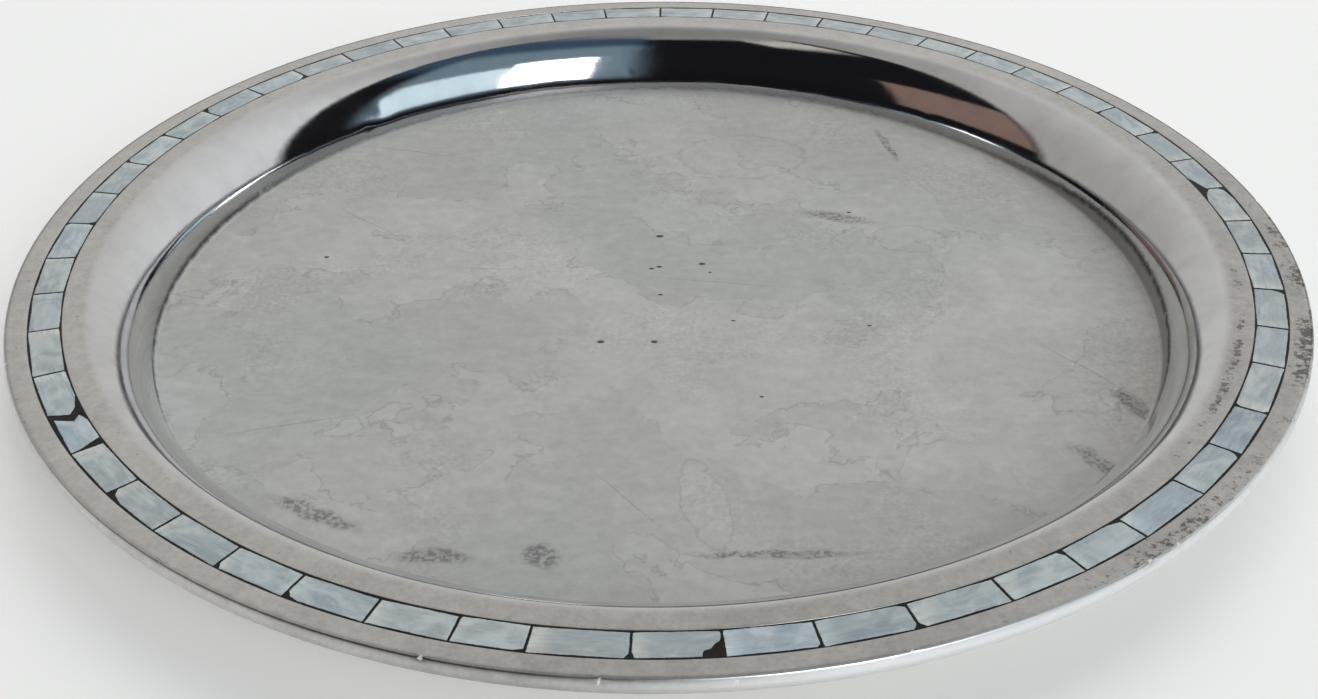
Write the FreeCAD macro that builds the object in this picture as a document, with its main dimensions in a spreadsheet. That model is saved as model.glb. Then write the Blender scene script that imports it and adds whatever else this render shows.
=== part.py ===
import FreeCAD, Part

import math
import os

import Sketcher

# Round metal offering plate with a ring of hand-cut mother-of-pearl tiles in its rim.
# Units are millimetres. The origin is the centre of the underside, +Z is up,
# and the front of the plate faces -Y.
#
# The plate is one piece of metal of even thickness: a flat floor, a wall that curves up and
# outwards from it, a tight shoulder and a wide flat rim. A groove in the rim holds black
# resin, and the tiles sit in the resin with a thin black line round each of them.

DIMENSIONS = {
    "plate_diameter": 254.0,
    "metal_thickness": 3.0,
    "well_depth": 14.0,
    "floor_radius": 100.6,
    "floor_fillet": 0.8,
    "wall_radius": 16.9,
    "shoulder_radius": 5.5,
    "rim_inner_radius": 112.6,
    "rim_edge_round": 0.45,
    "groove_inner_radius": 116.25,
    "groove_width": 6.25,
    "groove_depth": 1.6,
    "resin_drop": 0.08,
    "resin_margin": 0.2,
    "tile_width": 5.65,
    "tile_thickness": 1.2,
    "tile_side_flare": 0.33,
    "joint_width": 0.3,
    "usual_tile_room": 13.8,
    "short_tile_room": 11.0,
    "long_tile_room": 15.3,
    "tile_room_wave": 0.4,
}

TILE_COUNT = 54

# The tiles that look clearly shorter or longer than their neighbours in the photo. They are
# numbered counter-clockwise seen from above, from the first joint.
SHORT_TILES = (3, 50)
LONG_TILES = (4, 7, 8, 11, 14, 48, 49)

# How far the wave that makes neighbouring tiles differ moves on from tile to tile, in radians.
WAVE_STEP = 2.4

# The joint before the first tile, in degrees counter-clockwise from the front of the plate.
FIRST_JOINT_ANGLE = -28.0

# The front of the plate, in degrees counter-clockwise from the X axis.
FRONT_ANGLE = -90.0

# Corners that are cut, rounded or broken off. A corner is named by its edge (outer or inner)
# and by the end of the tile it is at (start or end, counter-clockwise). Each break is a list of
# points (along, across), measured from the sharp corner along the tile and across it, and
# runs from the tile's end to its edge.
TILE_BREAKS = {
    1: {"outer_start": ((0, 1.5), (0.9, 0.5), (2.6, 0))},
    3: {"outer_end": ((0, 0.6), (1.6, 0))},
    4: {"outer_end": ((0, 1.2), (0.8, 0))},
    5: {
        "outer_start": ((0, 1.4), (0.5, 0)),
        "outer_end": ((0, 4.1), (0.3, 3.4), (1.2, 2.7), (1.7, 1.8), (2.9, 1.3), (3.1, 0)),
    },
    6: {"outer_end": ((0, 0.7), (0.7, 0))},
    7: {"outer_end": ((0, 1.1), (0.7, 0)), "inner_end": ((0, 0.5), (1.3, 0))},
    8: {"outer_start": ((0, 1.1), (0.9, 0))},
    9: {"inner_end": ((0, 1.2), (0.9, 0))},
    10: {"inner_end": ((0, 0.6), (2.6, 0))},
    12: {"outer_end": ((0, 1.8), (0.4, 0.7), (1.2, 0))},
    14: {"outer_start": ((0, 0.9), (0.7, 0)), "inner_start": ((0, 0.8), (0.7, 0))},
    16: {"outer_end": ((0, 2.5), (0.5, 0.9), (1.4, 0))},
    19: {
        "outer_end": ((0, 1.6), (1.0, 0.6), (4.4, 0)),
        "inner_end": ((0, 1.9), (2.0, 0.8), (5.0, 0)),
    },
    20: {"inner_start": ((0, 1.7), (4.2, 0.4), (5.0, 0))},
    21: {"outer_end": ((0, 1.8), (0.6, 0))},
    22: {"outer_start": ((0, 1.0), (0.5, 0)), "inner_end": ((0, 1.2), (0.6, 0))},
    39: {"inner_start": ((0, 1.2), (1.6, 0))},
    40: {"outer_end": ((0, 1.8), (1.6, 0))},
    41: {"outer_end": ((0, 0.8), (0.5, 0))},
    42: {"outer_start": ((0, 0.9), (0.8, 0)), "outer_end": ((0, 1.0), (1.2, 0))},
    44: {"inner_end": ((0, 1.2), (0.8, 0))},
    45: {"outer_start": ((0, 0.7), (1.0, 0)), "inner_start": ((0, 1.0), (0.5, 0))},
    49: {
        "outer_end": ((0, 3.3), (1.6, 0)),
        "inner_end": ((0, 2.2), (0.4, 1.7), (1.8, 0.8), (5.6, 0)),
    },
    50: {
        "outer_start": ((0.4, 4.9), (1.9, 4.4), (4.0, 4.15), (2.2, 3.9), (1.2, 2.4), (0, 0.5)),
        "inner_start": ((0.4, 0.7), (2.6, 0)),
        "inner_end": ((0, 4.2), (1.7, 0)),
    },
    52: {"outer_start": ((0, 1.8), (1.1, 0.7), (3.8, 0))},
    54: {"outer_start": ((0, 1.2), (0.9, 0))},
}

SHEET = "Dimensions"


class DimensionSheet:
    """The spreadsheet of driving dimensions, one named cell to a row."""

    def __init__(self, document):
        self.sheet = document.addObject("Spreadsheet::Sheet", SHEET)
        self.row = 0

    def add(self, name, value):
        self.row += 1
        self.sheet.set(f"A{self.row}", name)
        self.sheet.set(f"B{self.row}", f"{value:g}")
        self.sheet.setAlias(f"B{self.row}", name)

    def value(self, name):
        return float(self.sheet.get(name))


def cell(name):
    return f"{SHEET}.{name}"


def origin_plane(body, role):
    """One of a body's own three base planes."""
    return next(item for item in body.Origin.OriginFeatures if item.Role == role)


def new_sketch(body, name, role):
    sketch = body.newObject("Sketcher::SketchObject", name)
    sketch.AttachmentSupport = [(origin_plane(body, role), "")]
    sketch.MapMode = "FlatFace"
    return sketch


def add_lines(sketch, points):
    """Adds a closed outline of straight lines, joined end to end."""
    count = len(points)
    corners = [FreeCAD.Vector(x, y, 0) for x, y in points]
    for i in range(count):
        sketch.addGeometry(Part.LineSegment(corners[i], corners[(i + 1) % count]), False)
    for i in range(count):
        sketch.addConstraint(Sketcher.Constraint("Coincident", i, 2, (i + 1) % count, 1))


def bind(sketch, kind, references, value, expression):
    """Adds a dimension to a sketch and ties it to the sheet."""
    index = sketch.addConstraint(Sketcher.Constraint(kind, *references, value))
    sketch.setExpression(f"Constraints[{index}]", expression)


def bind_point(sketch, line, x, y, x_expression, y_expression):
    """Fixes the start point of a line at stated distances from the sketch's origin."""
    bind(sketch, "DistanceX", (-1, 1, line, 1), x, x_expression)
    bind(sketch, "DistanceY", (-1, 1, line, 1), y, y_expression)


def bearing(start, end):
    """The direction from one point to another, in degrees counter-clockwise from the X axis."""
    return math.degrees(math.atan2(end.y - start.y, end.x - start.x)) % 360


def circle_meeting(a, from_a, b, from_b):
    """The point at two stated distances from a and from b, on the right of the way from a to b."""
    apart = (b - a).Length
    along = (apart**2 + from_a**2 - from_b**2) / (2 * apart)
    aside = math.sqrt(from_a**2 - along**2)
    forward = (b - a) / apart
    right = FreeCAD.Vector(forward.y, -forward.x, 0)
    return a + forward * along + right * aside


def arc(centre, radius, start, end):
    """An arc of a circle, counter-clockwise between two angles in degrees."""
    circle = Part.Circle(centre, FreeCAD.Vector(0, 0, 1), radius)
    return Part.ArcOfCircle(circle, math.radians(start), math.radians(end))


def straight(x_from, y_from, x_to, y_to):
    return Part.LineSegment(FreeCAD.Vector(x_from, y_from, 0), FreeCAD.Vector(x_to, y_to, 0))


def profile_pieces(dims):
    """The plate's cross-section in outline order, as (name, shape, drawn backwards).

    X is the distance from the axis and Y the height. The floor's bend, the wall and the
    shoulder are arcs that run smoothly into each other. They are drawn twice, on the upper and
    the lower face, about the same centres, which keeps the metal at one thickness. An arc runs
    counter-clockwise, so the outline takes some of them backwards.
    """
    thickness = dims.value("metal_thickness")
    fillet = dims.value("floor_fillet")
    wall = dims.value("wall_radius")
    shoulder = dims.value("shoulder_radius")
    edge_round = dims.value("rim_edge_round")
    rim_radius = dims.value("plate_diameter") / 2
    rim_top = thickness + dims.value("well_depth")
    rim_under = rim_top - thickness
    floor_centre = FreeCAD.Vector(dims.value("floor_radius"), thickness + fillet, 0)
    shoulder_centre = FreeCAD.Vector(dims.value("rim_inner_radius"), rim_top - shoulder, 0)
    wall_centre = circle_meeting(floor_centre, wall + fillet, shoulder_centre, wall - shoulder)
    foot = bearing(wall_centre, floor_centre)
    head = bearing(wall_centre, shoulder_centre)
    low_centre = FreeCAD.Vector(rim_radius - edge_round, rim_under + edge_round, 0)
    high_centre = FreeCAD.Vector(rim_radius - edge_round, rim_top - edge_round, 0)

    return (
        ("base", straight(0, 0, floor_centre.x, 0), False),
        ("base_bend", arc(floor_centre, fillet + thickness, -90, foot - 180), False),
        ("wall_back", arc(wall_centre, wall - thickness, head, foot), True),
        ("neck", arc(shoulder_centre, shoulder - thickness, 90, head), True),
        ("rim_under", straight(shoulder_centre.x, rim_under, low_centre.x, rim_under), False),
        ("edge_low", arc(low_centre, edge_round, -90, 0), False),
        ("edge", straight(rim_radius, low_centre.y, rim_radius, high_centre.y), False),
        ("edge_high", arc(high_centre, edge_round, 0, 90), False),
        ("rim_top", straight(high_centre.x, rim_top, shoulder_centre.x, rim_top), False),
        ("shoulder", arc(shoulder_centre, shoulder, 90, head), False),
        ("wall", arc(wall_centre, wall, head, foot), False),
        ("floor_bend", arc(floor_centre, fillet, -90, foot - 180), True),
        ("floor", straight(floor_centre.x, thickness, 0, thickness), False),
        ("axis", straight(0, thickness, 0, 0), False),
    )


def turned_profile(sketch, dims):
    """Draws the cross-section in a sketch, joins it up and ties it to the sheet."""
    pieces = profile_pieces(dims)
    number = {name: i for i, (name, _, _) in enumerate(pieces)}
    for _, shape, _ in pieces:
        sketch.addGeometry(shape, False)

    def rule(kind, *references):
        sketch.addConstraint(Sketcher.Constraint(kind, *references))

    square_corners = ("floor", "axis")
    for (name, _, backwards), (following, _, next_backwards) in zip(
        pieces, pieces[1:] + pieces[:1]
    ):
        leave = 1 if backwards else 2
        enter = 2 if next_backwards else 1
        kind = "Coincident" if name in square_corners else "Tangent"
        rule(kind, number[name], leave, number[following], enter)
    for name in ("base", "floor", "rim_top", "rim_under"):
        rule("Horizontal", number[name])
    for name in ("edge", "axis"):
        rule("Vertical", number[name])
    rule("Coincident", -1, 1, number["base"], 1)
    rule("Coincident", number["floor_bend"], 3, number["base_bend"], 3)
    rule("Coincident", number["shoulder"], 3, number["neck"], 3)
    rule("Equal", number["edge_low"], number["edge_high"])

    thickness = dims.value("metal_thickness")
    depth = dims.value("well_depth")
    rim_top_height = f"{cell('metal_thickness')} + {cell('well_depth')}"
    for name, height, expression in (
        ("axis", thickness, cell("metal_thickness")),
        ("rim_under", depth, cell("well_depth")),
        ("rim_top", thickness + depth, rim_top_height),
    ):
        bind(sketch, "DistanceY", (-1, 1, number[name], 1), height, expression)
    for name, point, distance, expression in (
        ("floor_bend", 3, dims.value("floor_radius"), cell("floor_radius")),
        ("shoulder", 3, dims.value("rim_inner_radius"), cell("rim_inner_radius")),
        ("edge", 1, dims.value("plate_diameter") / 2, f"{cell('plate_diameter')} / 2"),
    ):
        bind(sketch, "DistanceX", (-1, 1, number[name], point), distance, expression)
    wall_back_radius = f"{cell('wall_radius')} - {cell('metal_thickness')}"
    for name, radius, expression in (
        ("floor_bend", dims.value("floor_fillet"), cell("floor_fillet")),
        ("wall", dims.value("wall_radius"), cell("wall_radius")),
        ("wall_back", dims.value("wall_radius") - thickness, wall_back_radius),
        ("shoulder", dims.value("shoulder_radius"), cell("shoulder_radius")),
        ("edge_high", dims.value("rim_edge_round"), cell("rim_edge_round")),
    ):
        bind(sketch, "Radius", (number[name],), radius, expression)


def make_plate_body(document, dims):
    """The metal plate: a turned profile with the inlay groove cut in its rim."""
    body = document.addObject("PartDesign::Body", "PlateBody")
    body.Label = "plate_body"

    profile = new_sketch(body, "plate_profile", "XZ_Plane")
    turned_profile(profile, dims)
    turning = body.newObject("PartDesign::Revolution", "plate_turning")
    turning.Profile = profile
    turning.ReferenceAxis = (profile, ["V_Axis"])
    turning.Angle = 360
    document.recompute()

    above_rim = 1.0
    rim_top = dims.value("metal_thickness") + dims.value("well_depth")
    bottom = rim_top - dims.value("groove_depth")
    inner = dims.value("groove_inner_radius")
    outer = inner + dims.value("groove_width")
    inner_x = cell("groove_inner_radius")
    outer_x = f"{inner_x} + {cell('groove_width')}"
    rim_y = f"{cell('metal_thickness')} + {cell('well_depth')}"
    bottom_y = f"{rim_y} - {cell('groove_depth')}"
    top_y = f"{rim_y} + {above_rim:g}"
    section = new_sketch(body, "groove_section", "XZ_Plane")
    corners = (
        (inner, bottom, inner_x, bottom_y),
        (outer, bottom, outer_x, bottom_y),
        (outer, rim_top + above_rim, outer_x, top_y),
        (inner, rim_top + above_rim, inner_x, top_y),
    )
    add_lines(section, [(x, y) for x, y, _, _ in corners])
    for line, corner in enumerate(corners):
        bind_point(section, line, *corner)
    groove = body.newObject("PartDesign::Groove", "inlay_groove")
    groove.Profile = section
    groove.ReferenceAxis = (section, ["V_Axis"])
    groove.Angle = 360
    body.Tip = groove
    return body


def tile_corner(dims, number, corner, point, cell_names):
    """A point near one corner of a tile, as two numbers and two expressions.

    X runs outwards from the plate's axis and Y along the tile. The tile's ends flare, so that
    they lie along the plate's radii.
    """
    edge, end = corner.split("_")
    along, across = point
    sign = 1 if end == "end" else -1
    flare = 1 if edge == "outer" else -1
    width = dims.value("tile_width")
    inner = dims.value("groove_inner_radius") + dims.value("resin_margin")
    length_name = f"tile_{number:02d}_length"
    half_there = dims.value(length_name) / 2 + flare * dims.value("tile_side_flare") * (
        0.5 - across / width
    )
    x = inner + (width - across if edge == "outer" else across)
    y = sign * (half_there - along)

    along_text, across_text = cell_names
    inner_text = f"{cell('groove_inner_radius')} + {cell('resin_margin')}"
    if edge == "outer":
        x_text = f"{inner_text} + {cell('tile_width')} - {across_text}"
    else:
        x_text = f"{inner_text} + {across_text}"
    flare_text = (
        f"{flare} * {cell('tile_side_flare')} * (0.5 - {across_text} / {cell('tile_width')})"
    )
    y_text = f"{sign} * ({cell(length_name)} / 2 + {flare_text} - {along_text})"
    return x, y, x_text, y_text


def tile_outline(dims, number):
    """The corners of one tile in counter-clockwise order, with its breaks worked in."""
    outline = []
    breaks = TILE_BREAKS.get(number, {})
    for corner in ("inner_start", "outer_start", "outer_end", "inner_end"):
        points = breaks.get(corner, ((0, 0),))
        names = []
        for i, (along, across) in enumerate(points, start=1):
            stem = f"tile_{number:02d}_{corner}_{i}"
            texts = []
            for suffix, value in (("along", along), ("across", across)):
                if value:
                    dims.add(f"{stem}_{suffix}", value)
                texts.append(cell(f"{stem}_{suffix}") if value else "0")
            names.append(texts)
        steps = [
            tile_corner(dims, number, corner, point, texts)
            for point, texts in zip(points, names)
        ]
        # The outline meets these two corners by the edge, and the others by the tile's end.
        if corner in ("inner_start", "outer_end"):
            steps.reverse()
        outline.extend(steps)
    return outline


def make_tile(document, dims, number, angle):
    """One flat tile, cut with straight edges and set in its place in the band."""
    name = f"tile_{number:02d}"
    body = document.addObject("PartDesign::Body", f"Tile{number:02d}")
    body.Label = name
    outline = tile_outline(dims, number)
    document.recompute()
    sketch = new_sketch(body, f"{name}_outline", "XY_Plane")
    add_lines(sketch, [(x, y) for x, y, _, _ in outline])
    for line, corner in enumerate(outline):
        bind_point(sketch, line, *corner)
    slab = body.newObject("PartDesign::Pad", f"{name}_slab")
    slab.Profile = sketch
    slab.setExpression("Length", cell("tile_thickness"))
    body.Tip = slab
    rim_top = dims.value("metal_thickness") + dims.value("well_depth")
    body.Placement = FreeCAD.Placement(
        FreeCAD.Vector(0, 0, rim_top - dims.value("tile_thickness")),
        FreeCAD.Rotation(FreeCAD.Vector(0, 0, 1), angle),
    )
    body.setExpression(
        "Placement.Base.z",
        f"{cell('metal_thickness')} + {cell('well_depth')} - {cell('tile_thickness')}",
    )
    body.setExpression("Placement.Rotation.Angle", cell(f"{name}_angle"))
    return body


def tile_rooms(dims):
    """The room each tile takes along the middle of the band, its joint included.

    The rooms are scaled together, by very little, so that they close the band.
    """
    rooms = []
    for number in range(1, TILE_COUNT + 1):
        kind = "short" if number in SHORT_TILES else "long" if number in LONG_TILES else "usual"
        wave = dims.value("tile_room_wave") * math.sin(WAVE_STEP * number)
        rooms.append(dims.value(f"{kind}_tile_room") + wave)
    inner = dims.value("groove_inner_radius") + dims.value("resin_margin")
    circumference = 2 * math.pi * (inner + dims.value("tile_width") / 2)
    return [room * circumference / sum(rooms) for room in rooms]


def make_tiles(document, dims):
    """All the tiles, each as long as its room less one joint."""
    rooms = tile_rooms(dims)
    passed = 0.0
    places = []
    for number, room in enumerate(rooms, start=1):
        turn = 360 * (passed + room / 2) / sum(rooms)
        places.append((number, round((FRONT_ANGLE + FIRST_JOINT_ANGLE + turn) % 360, 2)))
        dims.add(f"tile_{number:02d}_length", round(room - dims.value("joint_width"), 2))
        dims.add(f"tile_{number:02d}_angle", places[-1][1])
        passed += room
    document.recompute()
    return [make_tile(document, dims, number, angle) for number, angle in places]


def make_resin_disc(document, name, radius):
    """A disc that reaches from the groove's bottom to the resin's top."""
    disc = document.addObject("Part::Cylinder", name)
    disc.setExpression("Radius", radius)
    disc.setExpression("Height", f"{cell('groove_depth')} - {cell('resin_drop')}")
    disc.setExpression(
        "Placement.Base.z",
        f"{cell('metal_thickness')} + {cell('well_depth')} - {cell('groove_depth')}",
    )
    return disc


def make_resin_bed(document, tiles):
    """Black resin: it fills the groove and is pierced by a pocket for every tile."""
    inner_radius = cell("groove_inner_radius")
    outer_radius = f"{inner_radius} + {cell('groove_width')}"
    ring = document.addObject("Part::Cut", "ResinRing")
    ring.Base = make_resin_disc(document, "ResinOuter", outer_radius)
    ring.Tool = make_resin_disc(document, "ResinInner", inner_radius)
    pockets = document.addObject("Part::Compound", "TilePockets")
    pockets.Links = tiles
    bed = document.addObject("Part::Cut", "ResinBed")
    bed.Label = "resin_bed"
    bed.Base = ring
    bed.Tool = pockets
    return bed


def check(document, nodes):
    """Stops if any object failed, or if a node's shape is missing, invalid or in pieces."""
    for item in document.Objects:
        if "Invalid" in item.State or "Error" in item.State:
            raise RuntimeError(f"{item.Name} failed: {item.State}")
    for node in nodes:
        shape = node.Shape
        if shape.isNull() or not shape.isValid():
            raise RuntimeError(f"{node.Label} has no valid shape")
        if len(shape.Solids) != 1:
            raise RuntimeError(f"{node.Label} is {len(shape.Solids)} solids")


def main():
    document = FreeCAD.newDocument("OfferingPlate")
    dims = DimensionSheet(document)
    for name, value in DIMENSIONS.items():
        dims.add(name, value)
    document.recompute()

    plate = make_plate_body(document, dims)
    tiles = make_tiles(document, dims)
    resin = make_resin_bed(document, tiles)
    document.recompute()

    nodes = [plate, resin] + tiles
    check(document, nodes)
    os.makedirs("parts", exist_ok=True)
    for node in nodes:
        node.Shape.exportStep(os.path.join("parts", f"{node.Label}.step"))
        box = node.Shape.optimalBoundingBox(False)
        print(
            f"{node.Label}: {node.Shape.Volume:.1f} mm3, "
            f"x {box.XMin:.2f}..{box.XMax:.2f}, y {box.YMin:.2f}..{box.YMax:.2f}, "
            f"z {box.ZMin:.2f}..{box.ZMax:.2f}"
        )


main()
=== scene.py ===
import math
import random

import bpy
import numpy as np
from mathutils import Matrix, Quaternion, Vector, geometry, noise


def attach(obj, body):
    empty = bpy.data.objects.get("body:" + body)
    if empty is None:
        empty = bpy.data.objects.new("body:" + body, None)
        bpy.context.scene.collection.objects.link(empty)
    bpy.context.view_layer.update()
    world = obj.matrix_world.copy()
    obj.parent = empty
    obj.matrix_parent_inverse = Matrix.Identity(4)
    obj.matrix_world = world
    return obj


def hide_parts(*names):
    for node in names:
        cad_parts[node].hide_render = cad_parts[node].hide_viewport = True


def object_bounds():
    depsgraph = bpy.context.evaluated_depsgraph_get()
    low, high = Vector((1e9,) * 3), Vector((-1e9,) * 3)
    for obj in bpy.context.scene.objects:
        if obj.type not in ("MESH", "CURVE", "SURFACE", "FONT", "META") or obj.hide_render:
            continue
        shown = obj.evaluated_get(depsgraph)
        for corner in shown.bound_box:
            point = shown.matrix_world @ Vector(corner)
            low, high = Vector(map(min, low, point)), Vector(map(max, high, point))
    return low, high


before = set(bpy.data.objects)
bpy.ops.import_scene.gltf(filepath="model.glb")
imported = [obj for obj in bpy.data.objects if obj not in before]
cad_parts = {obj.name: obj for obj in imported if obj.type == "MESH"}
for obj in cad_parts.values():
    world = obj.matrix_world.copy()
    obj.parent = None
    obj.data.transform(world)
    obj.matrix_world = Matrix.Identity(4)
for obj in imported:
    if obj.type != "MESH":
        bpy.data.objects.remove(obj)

cad_low, cad_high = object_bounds()

# ------------------------------------------------------------------------------------------
# Sizes in millimetres. The overall ones come from the bounds of model.glb, the others repeat the CAD sizes.
# Angles round the plate start at the front (-Y) and grow counter-clockwise, seen from above.
# ------------------------------------------------------------------------------------------
MM = 0.001
RADIUS = (cad_high.x - cad_low.x) / 2 / MM
HEIGHT = cad_high.z / MM
METAL = 3.0
WELL_DEPTH = HEIGHT - METAL
FLOOR_RADIUS = 100.6
FILLET = 0.8
WALL = 16.9
SHOULDER = 5.5
RIM_INNER = 112.6
EDGE_ROUND = 0.45
BULGE = 0.25
GROOVE_INNER = 116.25
GROOVE_OUTER = 122.5
GROOVE_DEPTH = 1.6
RESIN_DROP = 0.08
TILE_DEPTH = 1.2
# Points in a ring of the lathed metal and of the resin, and in the rings of the flat floor.
RING_POINTS = 960
FLOOR_RING_POINTS = 320

FLOOR_TOP = HEIGHT - WELL_DEPTH
FILLET_CENTRE = Vector((FLOOR_RADIUS, FLOOR_TOP + FILLET))
SHOULDER_CENTRE = Vector((RIM_INNER, HEIGHT - SHOULDER))


# ------------------------------------------------------------------------------------------
# Node graphs
# ------------------------------------------------------------------------------------------
class Graph:
    """Short calls for wiring the nodes of a material or a world."""

    def __init__(self, tree):
        self.tree = tree
        tree.nodes.clear()

    def node(self, kind, inputs=None, **settings):
        made = self.tree.nodes.new("ShaderNode" + kind)
        for key, value in settings.items():
            setattr(made, key, value)
        for key, value in (inputs or {}).items():
            self.put(made.inputs[key], value)
        return made

    def put(self, socket, value):
        if isinstance(value, bpy.types.NodeSocket):
            self.tree.links.new(value, socket)
        elif socket.type == "RGBA" and len(value) == 3:
            socket.default_value = (*value, 1.0)
        else:
            socket.default_value = value

    def math(self, operation, a, b=0.0, c=0.0):
        return self.node("Math", {0: a, 1: b, 2: c}, operation=operation).outputs[0]

    def vector(self, operation, a, b=(0.0, 0.0, 0.0)):
        made = self.node("VectorMath", {0: a}, operation=operation)
        if operation == "SCALE":
            self.put(made.inputs["Scale"], b)
        elif operation != "LENGTH":
            self.put(made.inputs[1], b)
        return made.outputs["Value" if operation in ("LENGTH", "DISTANCE") else "Vector"]

    def split(self, vector):
        return self.node("SeparateXYZ", {0: vector}).outputs[:3]

    def join(self, x, y, z):
        return self.node("CombineXYZ", {0: x, 1: y, 2: z}).outputs[0]

    def step(self, value, low, high, start=0.0, end=1.0):
        """Smoothly from start to end while value goes from low to high. Low may be the larger."""
        if low > high:
            low, high, start, end = high, low, end, start
        inputs = {"Value": value, "From Min": low, "From Max": high, "To Min": start, "To Max": end}
        return self.node("MapRange", inputs, interpolation_type="SMOOTHSTEP").outputs["Result"]

    def band(self, value, low, high, soft):
        """1 between low and high, fading over soft each side."""
        rise = self.step(value, low - soft / 2, low + soft / 2)
        return self.math("MULTIPLY", rise, self.step(value, high + soft / 2, high - soft / 2))

    def ridge(self, value, level, width):
        """1 where value is level, fading to 0 at width either side: a thin line along a level curve."""
        return self.step(self.math("ABSOLUTE", self.math("SUBTRACT", value, level)), width, 0.0)

    def noise(self, vector, scale, detail=2.0, roughness=0.5, distortion=0.0, output=0):
        inputs = {"Vector": vector, "Scale": scale, "Detail": detail, "Roughness": roughness}
        inputs["Distortion"] = distortion
        return self.node("TexNoise", inputs, noise_dimensions="3D").outputs[output]

    def mix(self, factor, a, b):
        made = self.node("Mix", {0: factor, 6: a, 7: b}, data_type="RGBA")
        return made.outputs[2]

    def blend(self, factor, a, b):
        return self.node("Mix", {0: factor, 2: a, 3: b}, data_type="FLOAT").outputs[0]

    def times(self, colour, factor):
        return self.vector("SCALE", colour, factor)


def new_material(name, graph=Graph):
    material = bpy.data.materials.new(name)
    material.use_nodes = True
    return material, graph(material.node_tree)


def finish_material(g, inputs, bump=None, bump_distance=0.0001):
    """The principled shader at the end of a material, with an optional bump height in 0 to 1."""
    if bump is not None:
        made = g.node("Bump", {"Height": bump, "Strength": 1.0, "Distance": bump_distance})
        inputs = {**inputs, "Normal": made.outputs["Normal"]}
    shader = g.node("BsdfPrincipled", inputs)
    g.node("OutputMaterial", {"Surface": shader.outputs["BSDF"]})


# ------------------------------------------------------------------------------------------
# Meshes
# ------------------------------------------------------------------------------------------
def make_object(name, vertices, faces, body="root"):
    """A smooth shaded mesh object from millimetre vertices, riding on its body."""
    mesh = bpy.data.meshes.new(name)
    mesh.from_pydata((np.array(vertices) * MM).tolist(), [], faces)
    mesh.update()
    mesh.shade_smooth()
    item = bpy.data.objects.new(name, mesh)
    bpy.context.scene.collection.objects.link(item)
    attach(item, body)
    return item


def arc(centre, radius, start, end, steps):
    """Section points (distance from the axis, height) on a round stretch between two angles in degrees."""
    angles = np.radians(np.linspace(start, end, steps + 1))
    return [(centre[0] + radius * math.cos(a), centre[1] + radius * math.sin(a)) for a in angles]


def wall_circle():
    """The centre of the wall's arc, and the bearings where it meets the floor's bend and the shoulder."""
    from_floor, from_shoulder = WALL + FILLET, WALL - SHOULDER
    way = SHOULDER_CENTRE - FILLET_CENTRE
    along = (way.length_squared + from_floor**2 - from_shoulder**2) / (2 * way.length)
    aside = math.sqrt(from_floor**2 - along**2)
    ahead = way.normalized()
    centre = FILLET_CENTRE + ahead * along + Vector((ahead.y, -ahead.x)) * aside
    foot, head = FILLET_CENTRE - centre, SHOULDER_CENTRE - centre
    return centre, math.degrees(math.atan2(foot.y, foot.x)), math.degrees(math.atan2(head.y, head.x))


def plate_section():
    """The metal's section, from the axis over the top, round the edge and back under to the axis."""
    wall_centre, foot, head = wall_circle()
    lip = 0.12
    crease_r = RADIUS - 0.62
    crease = 0.09
    top = [(r, FLOOR_TOP) for r in np.arange(4.0, FLOOR_RADIUS - 2, 4.0)]
    top += arc(FILLET_CENTRE, FILLET, -90, foot - 180, 6)
    top += arc(wall_centre, WALL, foot, head, 22)[1:]
    top += arc(SHOULDER_CENTRE, SHOULDER, head, 90, 8)[1:]
    top += [(113.6, HEIGHT), (114.7, HEIGHT), (115.6, HEIGHT)]
    top += arc((GROOVE_INNER - lip, HEIGHT - lip), lip, 90, 0, 3)
    top += [(GROOVE_INNER, HEIGHT - GROOVE_DEPTH), (GROOVE_OUTER, HEIGHT - GROOVE_DEPTH)]
    top += arc((GROOVE_OUTER + lip, HEIGHT - lip), lip, 180, 90, 3)
    top += [(123.6, HEIGHT), (124.8, HEIGHT), (125.6, HEIGHT), (crease_r - 0.2, HEIGHT)]
    top += [(crease_r - 0.1, HEIGHT - crease * 0.7), (crease_r, HEIGHT - crease)]
    top += arc((RADIUS - BULGE - EDGE_ROUND, HEIGHT - EDGE_ROUND), EDGE_ROUND, 86, 25, 5)
    for share in (-0.8, -0.4, 0.0, 0.4, 0.8):
        top.append((RADIUS - BULGE * share**2, HEIGHT - METAL / 2 - share * (METAL / 2 - EDGE_ROUND)))
    top += arc((RADIUS - BULGE - EDGE_ROUND, WELL_DEPTH + EDGE_ROUND), EDGE_ROUND, -25, -90, 4)
    under = [(122.0, WELL_DEPTH), (118.0, WELL_DEPTH)]
    under += arc(SHOULDER_CENTRE, SHOULDER - METAL, 90, head, 4)
    under += arc(wall_centre, WALL - METAL, head, foot, 7)[1:]
    under += arc(FILLET_CENTRE, FILLET + METAL, foot - 180, -90, 4)[1:]
    under += [(r, 0.0) for r in np.arange(96.0, 3.0, -8.0)]
    return top, under


def join_uneven(a, na, b, nb):
    """Triangles between a ring of na points and one of nb points, where one count divides the other."""
    swap = na > nb
    if swap:
        a, na, b, nb = b, nb, a, na
    ratio = nb // na
    half = ratio // 2
    faces = []
    for i in range(na):
        near, far = a + i, a + (i + 1) % na
        fan = [b + (i * ratio + k) % nb for k in range(ratio + 1)]
        faces += [(near, fan[k], fan[k + 1]) for k in range(half)]
        faces.append((near, fan[half], far))
        faces += [(far, fan[k], fan[k + 1]) for k in range(half, ratio)]
    return [tuple(reversed(f)) for f in faces] if swap else faces


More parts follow.
